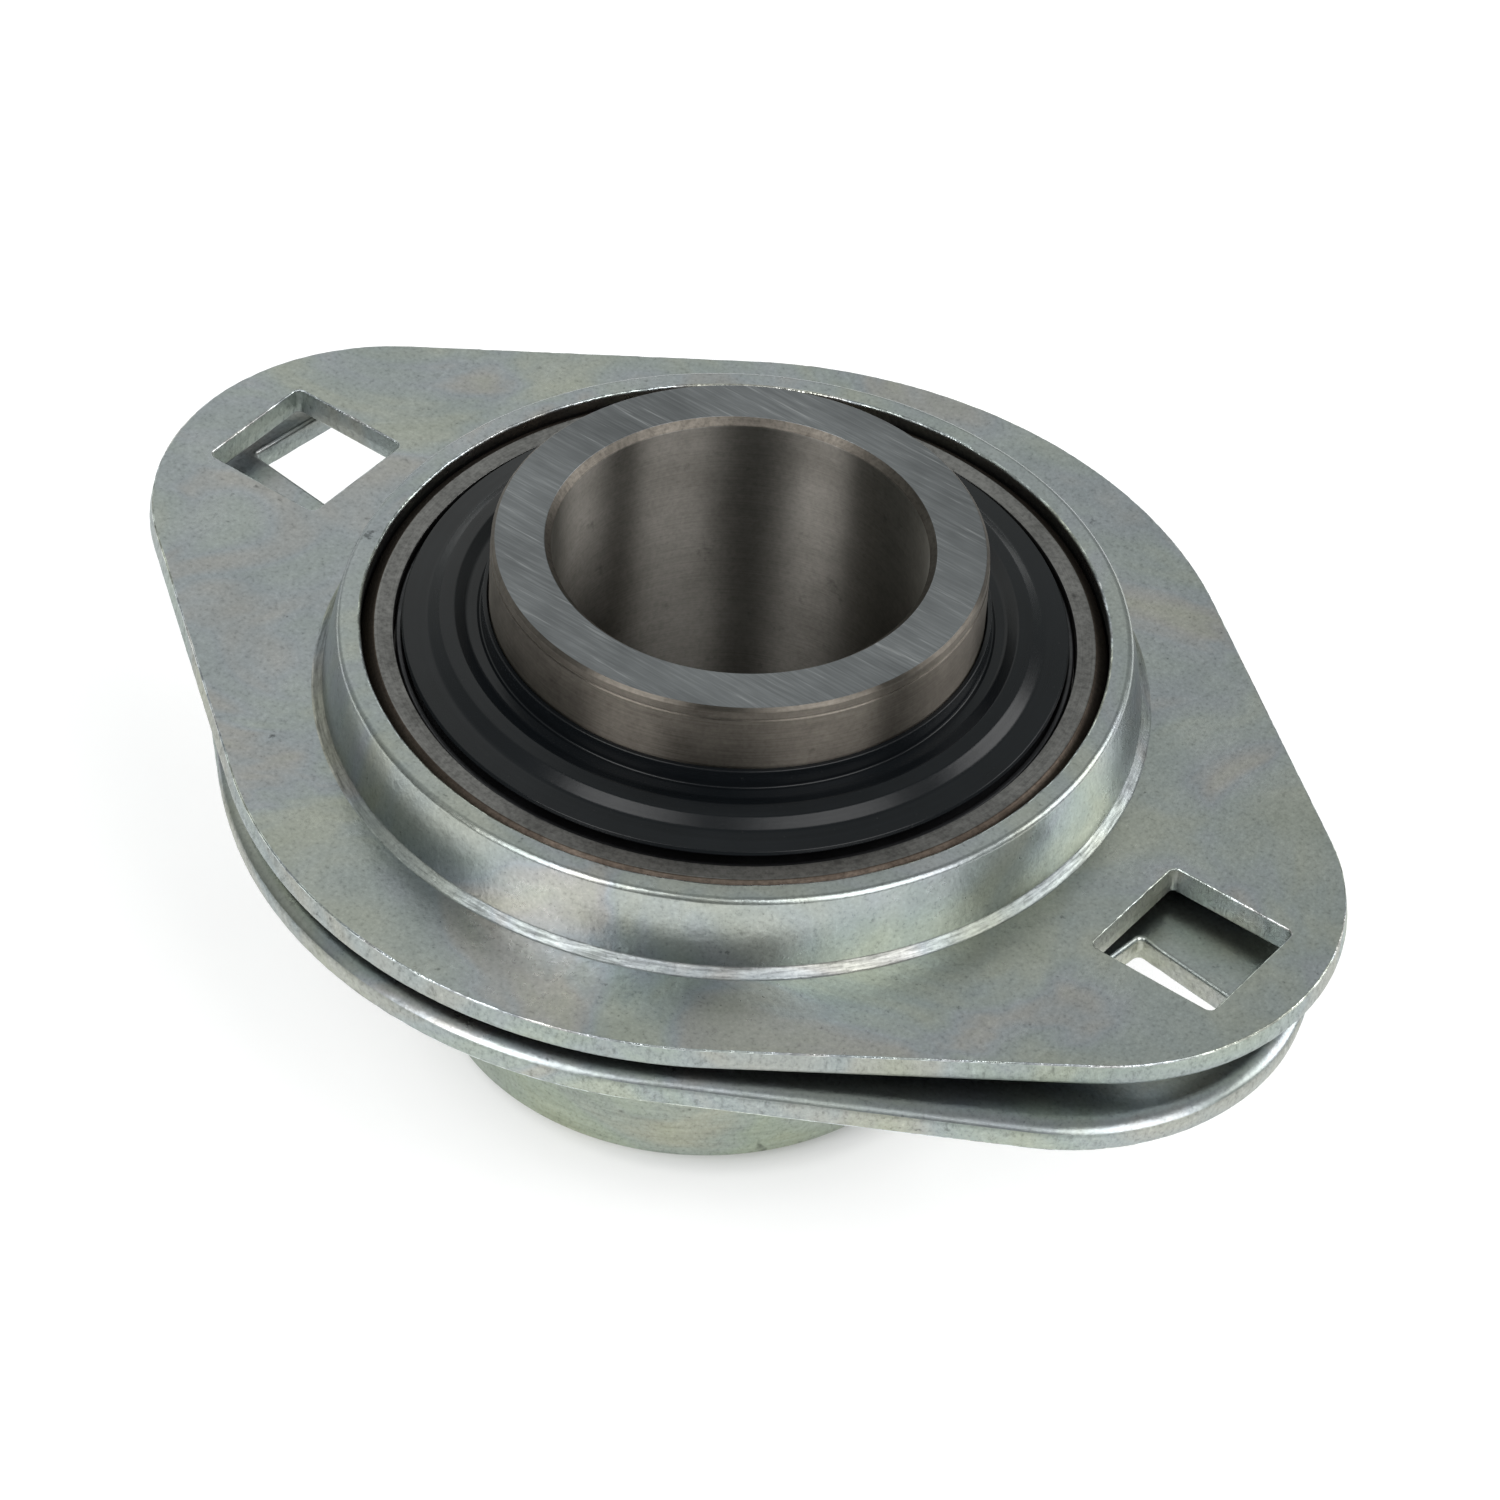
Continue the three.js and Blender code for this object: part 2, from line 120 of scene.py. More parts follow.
def mesh_piece(name, verts, faces, normals=None, materials=(), face_slots=None):
    """Smooth-shaded object made from millimetre vertices."""
    mesh = bpy.data.meshes.new(name)
    mesh.from_pydata([(x * MM, y * MM, z * MM) for x, y, z in verts], [], faces)
    mesh.polygons.foreach_set("use_smooth", [True] * len(mesh.polygons))
    for m in materials:
        mesh.materials.append(m)
    if face_slots is not None:
        mesh.polygons.foreach_set("material_index", face_slots)
    mesh.update()
    if normals is not None:
        mesh.normals_split_custom_set_from_vertices([tuple(n) for n in normals])
    obj = bpy.data.objects.new(name, mesh)
    bpy.context.scene.collection.objects.link(obj)
    return obj


class Build:
    """Collects vertices, normals and faces of one piece."""

    def __init__(self):
        self.verts, self.normals, self.faces, self.slots = [], [], [], []

    def loop(self, points, normals):
        start = len(self.verts)
        self.verts += [tuple(p) for p in points]
        self.normals += [tuple(q) for q in normals]
        return list(range(start, len(self.verts)))

    def bridge(self, a, b, slot=0):
        n = len(a)
        for i in range(n):
            j = (i + 1) % n
            self.faces.append((a[i], a[j], b[j], b[i]))
            self.slots.append(slot)

    def rod(self, loops):
        """Joins the loops in a row and closes both ends."""
        for lower, upper in zip(loops, loops[1:]):
            self.bridge(lower, upper)
        self.faces += [tuple(loops[0][::-1]), tuple(loops[-1])]
        self.slots += [0, 0]

    def piece(self, name, materials):
        return mesh_piece(name, self.verts, self.faces, self.normals, materials, self.slots)


def circle(build, r, z, heading, seg, cx=0.0, cy=0.0, wobble=None):
    nr, nz = math.sin(heading), -math.cos(heading)
    pts, nrm = [], []
    for k in range(seg):
        t = 2 * math.pi * k / seg
        c, s = math.cos(t), math.sin(t)
        dr, dz = wobble(t, r, z) if wobble else (0.0, 0.0)
        pts.append((cx + (r + dr) * c, cy + (r + dr) * s, z + dz))
        nrm.append((nr * c, nr * s, nz))
    return build.loop(pts, nrm)


def turned(name, profile, materials, seg, z0, flip=False, centre=None, slot_of=None):
    """Closed turned ring; profile is counter-clockwise in (r, z)."""
    b = Build()
    loops = []
    for r, z, h in profile:
        cx, cy = centre(r, z) if centre else (0.0, 0.0)
        loops.append(circle(b, r, z, h, seg, cx, cy))
    for i in range(len(loops)):
        j = (i + 1) % len(loops)
        slot = slot_of(profile[i], profile[j]) if slot_of else 0
        b.bridge(loops[i], loops[j], slot)
    place(b, z0, flip)
    return b.piece(name, materials)


def place(b, z0, flip, turn=0.0):
    """Turns a piece over about X where flip is set, turns it about Z, and lifts it."""
    c, s = math.cos(math.radians(turn)), math.sin(math.radians(turn))
    for rows in (b.verts, b.normals):
        for i, (x, y, z) in enumerate(rows):
            if flip:
                y, z = -y, -z
            rows[i] = (c * x - s * y, s * x + c * y, z)
    b.verts = [(x, y, z + z0) for x, y, z in b.verts]


def rough(t, scale, seed, z=0.0):
    """Smooth noise round a closed loop, roughly -1 to 1."""
    return noise.noise(Vector((math.cos(t) * scale + seed, math.sin(t) * scale - seed, z)))


# ---------------------------------------------------------------- node helpers
class Nodes:
    """A new material, with short ways to add and join its nodes."""

    def __init__(self, name):
        self.mat = bpy.data.materials.new(name)
        self.mat.use_nodes = True
        self.tree = self.mat.node_tree
        self.bsdf = self.tree.nodes["Principled BSDF"]
        self.coord = self.tree.nodes.new("ShaderNodeTexCoord").outputs["Object"]

    def add(self, kind, **values):
        """New node; a value goes to the input of that name, or else to the node's own setting."""
        node = self.tree.nodes.new(kind)
        for key, value in values.items():
            if key in node.inputs:
                node.inputs[key].default_value = value
            else:
                setattr(node, key, value)
        return node

    def link(self, a, b):
        self.tree.links.new(a, b)

    def mapped(self, source=None, **values):
        """Coordinates moved, turned or scaled."""
        m = self.add("ShaderNodeMapping", **values)
        self.link(source or self.coord, m.inputs["Vector"])
        return m.outputs["Vector"]

    def noise(self, scale, detail=3.0, rough=0.55, source=None, distortion=0.0):
        n = self.add("ShaderNodeTexNoise", Scale=scale, Detail=detail, Roughness=rough)
        n.inputs["Distortion"].default_value = distortion
        self.link(source or self.coord, n.inputs["Vector"])
        return n.outputs["Fac"]

    def ramp(self, source, stops):
        """Colour ramp; a stop is a position with a grey value or a colour."""
        r = self.add("ShaderNodeValToRGB")
        r.color_ramp.interpolation = "LINEAR"
        while len(r.color_ramp.elements) < len(stops):
            r.color_ramp.elements.new(0.5)
        for element, (pos, colour) in zip(r.color_ramp.elements, stops):
            element.position = pos
            value = (colour, colour, colour) if isinstance(colour, (int, float)) else colour
            element.color = (*value, 1)
        self.link(source, r.inputs["Fac"])
        return r.outputs["Color"]

    def mix(self, fac, a, b, blend="MIX"):
        m = self.add("ShaderNodeMix", data_type="RGBA", blend_type=blend)
        # a colour mix has its factor at input 0 and its two colours at 6 and 7
        for socket, value in ((m.inputs[0], fac), (m.inputs[6], a), (m.inputs[7], b)):
            if isinstance(value, bpy.types.NodeSocket):
                self.link(value, socket)
            elif isinstance(value, (int, float)):
                socket.default_value = value
            else:
                socket.default_value = (*value, 1)
        return m.outputs[2]

    def shaded(self, fac, colour, source, stops):
        """The colour multiplied by a ramp of the source."""
        return self.mix(fac, colour, self.ramp(source, stops), "MULTIPLY")

    def math(self, op, a, b=0.0):
        m = self.add("ShaderNodeMath", operation=op)
        for i, value in enumerate((a, b)):
            if isinstance(value, bpy.types.NodeSocket):
                self.link(value, m.inputs[i])
            else:
                m.inputs[i].default_value = value
        return m.outputs[0]

    def streaks(self, along, across, detail=3.0):
        """Noise drawn out round the shaft axis, with no seam.

        along is in cells a radian, and across in cells a metre."""
        sep = self.add("ShaderNodeSeparateXYZ")
        self.link(self.coord, sep.inputs[0])
        x, y, z = sep.outputs
        squared = self.math("ADD", self.math("MULTIPLY", x, x), self.math("MULTIPLY", y, y))
        radius = self.math("SQRT", squared)
        scale = self.math("DIVIDE", along, radius)
        at = self.add("ShaderNodeCombineXYZ")
        self.link(self.math("MULTIPLY", x, scale), at.inputs[0])
        self.link(self.math("MULTIPLY", y, scale), at.inputs[1])
        self.link(self.math("MULTIPLY", radius, across), at.inputs[2])
        n = self.add("ShaderNodeTexNoise", noise_dimensions="4D", Scale=1.0, Detail=detail, Roughness=0.6)
        self.link(at.outputs[0], n.inputs["Vector"])
        self.link(self.math("MULTIPLY", z, across), n.inputs["W"])
        return n.outputs["Fac"]

    def bump(self, height, strength, distance, previous=None):
        b = self.add("ShaderNodeBump", Strength=strength, Distance=distance)
        self.link(height, b.inputs["Height"])
        if previous is not None:
            self.link(previous, b.inputs["Normal"])
        return b.outputs["Normal"]

    def finish(self, colour, roughness, normal=None, metallic=1.0, **sockets):
        """Joins everything to the shader and returns the material."""
        self.link(colour, self.bsdf.inputs["Base Color"])
        self.link(roughness, self.bsdf.inputs["Roughness"])
        if normal is not None:
            self.link(normal, self.bsdf.inputs["Normal"])
        self.bsdf.inputs["Metallic"].default_value = metallic
        for key, value in sockets.items():
            self.bsdf.inputs[key.replace("_", " ")].default_value = value
        return self.mat


# ---------------------------------------------------------------- materials
def zinc(name, tint=(1.0, 1.0, 1.0), finish="plate", seed=0.0):
    """Zinc plating with a clear passivate: mottled grey-green, faint blue, pink and straw patches."""
    n = Nodes(name)
    at = n.mapped(Location=(seed, seed * 0.7, -seed))
    cloud = n.noise(95.0, 4.0, 0.6, at, 0.6)
    patch = n.noise(48.0, 3.0, 0.55, at, 1.2)
    grain = n.noise(3000.0, 2.0, 0.6, at)
    medium = n.noise(1300.0, 3.0, 0.6, at)
    base = n.ramp(cloud, [
        (0.30, (0.350, 0.384, 0.352)), (0.50, (0.398, 0.428, 0.395)), (0.72, (0.450, 0.472, 0.432)),
    ])
    iris = n.ramp(patch, [
        (0.24, (0.43, 0.44, 0.33)), (0.38, (0.44, 0.46, 0.40)), (0.47, (0.36, 0.41, 0.43)),
        (0.54, (0.35, 0.38, 0.47)), (0.61, (0.44, 0.40, 0.42)), (0.74, (0.49, 0.46, 0.36)),
    ])
    colour = n.mix(0.42, base, iris)
    # fine speckle, then pits
    colour = n.shaded(0.8, colour, grain, [(0.28, 0.70), (0.42, 0.94), (0.55, 1.0), (0.70, 1.14)])
    colour = n.shaded(0.8, colour, medium, [(0.25, 0.45), (0.31, 0.90), (0.38, 1.0), (0.74, 1.06)])
    dirt = n.ramp(n.noise(520.0, 4.0, 0.65, at), [(0.26, 0.40), (0.33, 1.0)])
    dirt_where = n.ramp(n.noise(60.0, 3.0, 0.6, at), [(0.40, 0.0), (0.60, 0.9)])
    colour = n.mix(dirt_where, colour, n.mix(1.0, colour, dirt, "MULTIPLY"))
    colour = n.mix(1.0, colour, tint, "MULTIPLY")
    rough_value = n.ramp(n.mix(0.4, cloud, medium), [(0.25, 0.36), (0.55, 0.29), (0.80, 0.23)])
    normal = n.bump(grain, 0.22, 0.00005)
    normal = n.bump(medium, 0.20, 0.00010, normal)
    normal = n.bump(n.noise(240.0, 2.0, 0.5, at), 0.14, 0.0005, normal)
    if finish == "burr":
        # thin torn edge: its colour is lightened in dashes, up to nearly twice, as painted glints over
        # real scuffing; the bump and lower roughness make it glint as well
        dash = n.noise(700.0, 3.0, 0.7, at)
        colour = n.shaded(1.0, colour, dash, [(0.36, 0.70), (0.48, 1.1), (0.58, 1.75)])
        normal = n.bump(dash, 0.6, 0.00025, normal)
        rough_value = n.ramp(dash, [(0.40, 0.45), (0.60, 0.20)])
    if finish == "brushed":
        # lathe lines and a few dark spots
        lines = n.streaks(2.5, 2600.0)
        colour = n.shaded(0.6, colour, lines, [(0.30, 0.78), (0.50, 1.0), (0.72, 1.14)])
        colour = n.shaded(0.9, colour, n.noise(210.0, 3.0, 0.6, at), [(0.24, 0.25), (0.29, 1.0)])
        normal = n.bump(lines, 0.22, 0.00006, normal)
        rough_value = n.ramp(lines, [(0.30, 0.46), (0.70, 0.34)])
    if finish == "cut":
        # sheared metal: crumbled grain, darker pits
        torn = n.noise(1900.0, 4.0, 0.7, n.mapped(at, Scale=(1.0, 1.0, 0.55)))
        colour = n.shaded(0.7, colour, torn, [(0.30, 0.58), (0.45, 0.96), (0.62, 1.0), (0.74, 1.25)])
        normal = n.bump(torn, 0.45, 0.00016, normal)
        rough_value = n.ramp(torn, [(0.25, 0.62), (0.75, 0.40)])
    if finish == "scuffed":
        # drawn radius, burnished by the die: bright lines round the bowl
        lines = n.streaks(14.0, 4200.0)
        colour = n.shaded(0.85, colour, lines, [(0.32, 0.45), (0.48, 0.80), (0.66, 1.15)])
        normal = n.bump(lines, 0.40, 0.00010, normal)
        rough_value = n.ramp(lines, [(0.30, 0.50), (0.70, 0.34)])
    return n.finish(colour, rough_value, normal)


def ring_steel(name):
    """Ground bearing steel end face: bluish, with long crossing scratches."""
    n = Nodes(name)

    def marks(turn, length, width):
        at = n.mapped(Rotation=(0, 0, math.radians(turn)), Scale=(length, width, 700.0))
        return n.noise(1.0, 3.0, 0.65, at, 0.15)

    fine = n.mix(0.5, marks(12, 240.0, 5200.0), marks(76, 200.0, 4800.0))
    wide = n.mix(0.5, marks(35, 110.0, 2100.0), marks(-48, 120.0, 2300.0))
    cloud = n.noise(110.0, 3.0, 0.6)
    colour = n.ramp(n.mix(0.4, fine, wide), [
        (0.32, (0.165, 0.174, 0.180)), (0.50, (0.215, 0.226, 0.234)), (0.66, (0.31, 0.322, 0.332)),
    ])
    colour = n.shaded(0.8, colour, cloud, [(0.32, 0.70), (0.52, 0.98), (0.72, 1.22)])
    scratch = n.ramp(wide, [(0.58, 0.0), (0.68, 0.7)])
    colour = n.mix(scratch, colour, (0.50, 0.51, 0.52))
    rough_value = n.ramp(fine, [(0.25, 0.44), (0.75, 0.30)])
    normal = n.bump(fine, 0.35, 0.00004)
    normal = n.bump(wide, 0.30, 0.00008, normal)
    return n.finish(colour, rough_value, normal)


def turned_steel(name, low, high, rough_low, rough_high, spots=0.5, spread=0.0):
    """Turned or honed side: fine lines round the axis, clouding and a few stains.

    spots is how strong the stains are, and spread how far grooves draw a reflection out."""
    n = Nodes(name)
    lines = n.streaks(3.0, 9000.0, 2.0)
    cloud = n.noise(170.0, 4.0, 0.62)
    grain = n.noise(2600.0, 3.0, 0.65)
    colour = n.ramp(n.mix(0.35, cloud, lines), [(0.30, low), (0.70, high)])
    colour = n.shaded(spots, colour, n.noise(420.0, 4.0, 0.6), [(0.27, 0.45), (0.36, 1.0)])
    grain_colour, grain_bump = (0.35, 0.08) if spread else (0.8, 0.20)
    colour = n.shaded(grain_colour, colour, grain, [(0.32, 0.66), (0.50, 1.0), (0.70, 1.25)])
    rough_value = n.ramp(n.mix(0.4, cloud, grain), [(0.28, rough_high), (0.72, rough_low)])
    normal = n.bump(lines, 0.10, 0.00003)
    normal = n.bump(grain, grain_bump, 0.00005, normal)
    if spread:
        # grooves round the axis spread a reflection along it
        tangent = n.add("ShaderNodeTangent", direction_type="RADIAL", axis="Z")
        n.link(tangent.outputs[0], n.bsdf.inputs["Tangent"])
        n.bsdf.inputs["Anisotropic"].default_value = spread
        n.bsdf.inputs["Anisotropic Rotation"].default_value = 0.25
    return n.finish(colour, rough_value, normal)


def slinger_black(name):
    """Blue-black phosphated strip, semi-gloss, with rubbed rings and dust."""
    n = Nodes(name)
    rings = n.streaks(0.8, 2400.0, 2.0)
    cloud = n.noise(120.0, 4.0, 0.6)
    colour = n.ramp(n.mix(0.4, cloud, rings), [
        (0.30, (0.0030, 0.0040, 0.0050)), (0.70, (0.0070, 0.0086, 0.0104)),
    ])
    dust = n.ramp(n.noise(2600.0, 3.0, 0.65), [(0.68, 0.0), (0.80, 0.4)])
    colour = n.mix(dust, colour, (0.06, 0.06, 0.058))
    rough_value = n.ramp(n.mix(0.5, cloud, rings), [(0.28, 0.30), (0.72, 0.17)])
    normal = n.bump(rings, 0.10, 0.00004)
    normal = n.bump(n.noise(1500.0, 3.0, 0.5), 0.10, 0.00005, normal)
    return n.finish(colour, rough_value, normal, metallic=0.0, Specular_IOR_Level=0.31)


def rubber(name):
    """Matt black nitrile rubber."""
    n = Nodes(name)
    cloud = n.noise(300.0, 4.0, 0.6)
    colour = n.ramp(cloud, [(0.30, (0.010, 0.010, 0.011)), (0.72, (0.026, 0.026, 0.027))])
    rough_value = n.ramp(cloud, [(0.3, 0.75), (0.7, 0.58)])
    normal = n.bump(n.noise(2600.0, 3.0, 0.6), 0.25, 0.00006)
    return n.finish(colour, rough_value, normal, metallic=0.0)


def plain_metal(name, low, high, rough_low, rough_high):
    """Small metal parts: clouding with a fine grain."""
    n = Nodes(name)
    cloud = n.noise(300.0, 4.0, 0.6)
    grain = n.noise(3300.0, 3.0, 0.6)
    colour = n.ramp(n.mix(0.4, cloud, grain), [(0.3, low), (0.7, high)])
    rough_value = n.ramp(cloud, [(0.3, rough_high), (0.7, rough_low)])
    normal = n.bump(grain, 0.12, 0.00004)
    return n.finish(colour, rough_value, normal)


# zinc: tint, finish, seed
M_ZINC = zinc("zinc_plate")
M_ZINC_CUT = zinc("zinc_cut_edge", (0.96, 0.99, 0.94), "cut", 0.4)
M_ZINC_DRAWN = zinc("zinc_drawn_radius", (1.0, 1.0, 0.99), "scuffed", 0.2)
M_ZINC_LOW = zinc("zinc_plate_lower", seed=0.9)
# the burr zinc has painted glints: its colour is lightened in dashes
M_ZINC_BURR = zinc("zinc_burr", (1.0, 1.0, 1.0), "burr", 0.6)
M_COLLAR = zinc("collar_zinc_plate", (0.94, 0.97, 0.82), "brushed", 1.7)
# steel: darkest and lightest colour, lowest and highest roughness, stains, spread
# the spherical outside, seen only in the narrow gap under the housing rim, is given a darker, browner
# colour than the ring's faces
M_SPHERE = turned_steel(
    "outer_ring_sphere_darker", (0.050, 0.038, 0.030), (0.120, 0.098, 0.080), 0.34, 0.50, 0.8)
M_FACE = ring_steel("ring_face_ground")
M_SIDE = turned_steel(
    "ring_side_turned", (0.080, 0.071, 0.061), (0.21, 0.190, 0.164), 0.34, 0.44, 0.6, 1.0)
M_EDGE = turned_steel(
    "ring_edge_chamfer", (0.075, 0.066, 0.056), (0.150, 0.136, 0.118), 0.34, 0.46, 0.7)
M_BORE = turned_steel(
    "ring_bore_honed", (0.165, 0.155, 0.138), (0.30, 0.284, 0.258), 0.45, 0.50, 0.6, 1.0)
M_OUTER = turned_steel(
    "outer_ring_ground", (0.135, 0.133, 0.128), (0.27, 0.266, 0.258), 0.30, 0.42, 0.8)
M_RACE = turned_steel("raceway_honed", (0.45, 0.45, 0.46), (0.60, 0.60, 0.61), 0.08, 0.16, 0.0)
M_FLINGER = slinger_black("slinger_blue_black")
M_PLATE = plain_metal("seal_plate_phosphate", (0.05, 0.052, 0.055), (0.10, 0.10, 0.105), 0.4, 0.55)
M_RUBBER = rubber("seal_rubber_black")
M_BALL = plain_metal("ball_polished", (0.55, 0.55, 0.56), (0.64, 0.64, 0.65), 0.04, 0.09)
M_CAGE = plain_metal("cage_strip", (0.40, 0.39, 0.36), (0.56, 0.55, 0.52), 0.25, 0.38)
M_RIVET = plain_metal("rivet_bright", (0.45, 0.44, 0.42), (0.60, 0.59, 0.57), 0.20, 0.32)
M_SCREW = plain_metal("screw_black_oxide", (0.025, 0.025, 0.027), (0.055, 0.055, 0.058), 0.30, 0.45)


# ---------------------------------------------------------------- housing
def outline(inset, spacing=0.42):
    """Flange outline as (x, y, nx, ny) points, counter-clockwise."""
    reach = math.hypot(END_X, SIDE_Y)
    alpha = math.acos((SIDE_R - END_R) / reach) - math.atan2(SIDE_Y, END_X)
    straight = math.sqrt(reach ** 2 - (SIDE_R - END_R) ** 2)
    out = []
    for cx, cy, radius, start, end in (
        (END_X, 0.0, END_R, -alpha, alpha),
        (0.0, SIDE_Y, SIDE_R, alpha, math.pi - alpha),
        (-END_X, 0.0, END_R, math.pi - alpha, math.pi + alpha),
        (0.0, -SIDE_Y, SIDE_R, math.pi + alpha, 2 * math.pi - alpha),
    ):
        n = max(8, int(radius * abs(end - start) / spacing))
        r = radius - inset
        for i in range(n + 1):
            a = start + (end - start) * i / n
            out.append((cx + r * math.cos(a), cy + r * math.sin(a), math.cos(a), math.sin(a)))
        # the straight tangent to the next arc, split as finely as the arcs
        tx, ty = -math.sin(end), math.cos(end)
        x0, y0 = out[-1][:2]
        m = int(straight / spacing)
        for i in range(1, m):
            along = straight * i / m
            out.append((x0 + tx * along, y0 + ty * along, math.cos(end), math.sin(end)))
    return out


def square(cx, grow, corner_steps=5, side_steps=14):
    """Square hole as (x, y, nx, ny) points, clockwise, normals into the hole."""
    out = []
    flat = HOLE_HALF - HOLE_CORNER
    radius = HOLE_CORNER + grow
    for k in range(4):
        mid = math.radians(45 + 90 * k)
        sx, sy = math.copysign(1, math.cos(mid)), math.copysign(1, math.sin(mid))
        for i in range(corner_steps + 1):
            a = mid + math.radians(-45 + 90 * i / corner_steps)
            c, s = math.cos(a), math.sin(a)
            out.append((cx + sx * flat + radius * c, sy * flat + radius * s, -c, -s))
        a = mid + math.radians(45)
        tx, ty = -math.sin(a), math.cos(a)
        x0, y0 = out[-1][:2]
        for i in range(1, side_steps):
            t = 2 * flat * i / side_steps
            out.append((x0 + tx * t, y0 + ty * t, -math.cos(a), -math.sin(a)))
    return out[::-1]


def edge_levels(roll):
    """Up a sheared edge, as (height, inset, tilt).

    It is rolled in at the mating side and has a thin burr at the other."""
    levels = []
    depth = min(ROLL_DEPTH, roll)
    for i in range(9):  # a quarter of an ellipse
        a = math.radians(90 * i / 8)
        tilt = math.atan2(-roll * math.cos(a), depth * math.sin(a))
        levels.append((depth * (1 - math.cos(a)), roll * (1 - math.sin(a)), tilt))
    # burnished band, straight up
    levels += [(1.0, 0.0, 0.0), (1.12, 0.0, 0.0)]
    # broken metal, leaning in
    lean = math.radians(10)
    for z in (1.3, 1.6, 1.9, SHEET - BURR):
        levels.append((z, (z - 1.15) * math.tan(lean), lean))
    last = levels[-1][1]
    for i in range(5):
        a = math.radians(10 + 80 * i / 4)
        inset = last + BURR * (math.cos(lean) - math.cos(a))
        levels.append((SHEET - BURR + BURR * math.sin(a) * 0.999, inset, a))
    return levels


def torn_away(x, y, z, seed):
    """How deep the sheared edge has crumbled at a point."""
    depth = 0.0
    if z > SHEET - 0.15:
        depth = 0.05 * noise.noise(Vector((x * 1.6, y * 1.6, seed + 3)))
    elif z > 0.5:
        depth = 0.035 * noise.noise(Vector((x * 1.1, y * 1.1, z * 0.5 + seed)))
    return max(depth, 0.0)


def burr_lift(x, y, tilt, seed):
    """How far the burr stands up at a point."""
    if not 0.6 < tilt < 1.5:
        return 0.0
    return 0.045 * max(0.0, noise.noise(Vector((x * 2.3, y * 2.3, seed + 9))) - 0.1)


def sheared_edge(b, loop_at, seed, roll):
    """Strips up the cut edge of the sheet. Returns the first (mating) and last (outer) loops."""
    loops = []
    for z, inset, tilt in edge_levels(roll):
        pts, nrm = [], []
        for x, y, nx, ny in loop_at(inset):
            tear = torn_away(x, y, z, seed)
            pts.append((x - nx * tear, y - ny * tear, z + burr_lift(x, y, tilt, seed)))
            nrm.append((nx * math.cos(tilt), ny * math.cos(tilt), math.sin(tilt)))
        loops.append(b.loop(pts, nrm))
    # the last strips, the burr, get the burr zinc with its painted glints in dashes
    rolled, burred = 6, len(loops) - 6
    for i, (lower, upper) in enumerate(zip(loops, loops[1:])):
        b.bridge(lower, upper, PLATE if i < rolled else TORN if i >= burred else CUT)
    return loops[0], loops[-1]


def inside(x, y, poly):
    hit = False
    for (x0, y0), (x1, y1) in zip(poly, poly[1:] + poly[:1]):
        if (y0 > y) != (y1 > y) and x < (x1 - x0) * (y - y0) / (y1 - y0) + x0:
            hit = not hit
    return hit


def cap(b, outer, holes, up):
    """Flat face between an outer loop and hole loops, triangulated."""
    rings = [outer] + holes
    coords, edges = [], []
    for ring in rings:
        start = len(coords)
        coords += [Vector(b.verts[i][:2]) for i in ring]
        edges += [(start + i, start + (i + 1) % len(ring)) for i in range(len(ring))]
    flat_index = [i for ring in rings for i in ring]
    verts, _, faces, origin, _, _ = geometry.delaunay_2d_cdt(coords, edges, [], 1, 1e-7)
    hole_polys = [[b.verts[i][:2] for i in ring] for ring in holes]
    back = [flat_index[o[0]] for o in origin]
    for face in faces:
        cx = sum(verts[i][0] for i in face) / 3
        cy = sum(verts[i][1] for i in face) / 3
        if any(inside(cx, cy, poly) for poly in hole_polys):
            continue
        tri = [back[i] for i in face]
        (x0, y0), (x1, y1), (x2, y2) = [b.verts[i][:2] for i in tri]
        ccw = (x1 - x0) * (y2 - y0) - (x2 - x0) * (y1 - y0) > 0
        b.faces.append(tuple(tri) if ccw == up else tuple(tri[::-1]))
        b.slots.append(PLATE)


def bowl_profile():
    """From the flange top, up over the bowl and back down the seat to the mating face."""
    lip_z = 7.9  # where the bowl and the opening turn into the rim
    seat = [(math.sqrt(SEAT_R ** 2 - (z + SEAT_DROP) ** 2), z, 0) for z in np.linspace(6.7, 1.3, 9)]
    wall = [(math.sqrt(BOWL_R ** 2 - (z + BOWL_DROP) ** 2), z, 0) for z in np.linspace(3.9, lip_z, 7)]
    pts = [(PLATE_R, SHEET, 0), (FOOT_R, SHEET, 0.30), (BAND_R, SHEET + BAND_H, 0.30)]
    pts += wall
    pts += [(math.sqrt(BOWL_R ** 2 - (BOWL_H + BOWL_DROP) ** 2) + 0.02, BOWL_H, 0.62)]
    pts += [(OPENING_R, BOWL_H, 0.22), (OPENING_R + 0.02, lip_z, 0.6)]
    pts += seat
    pts += [(SEAT_R - 0.02, 0.0, 1.1), (PLATE_R, 0.0, 0)]
    return rounded(pts, 0.0, 8, closed=False)


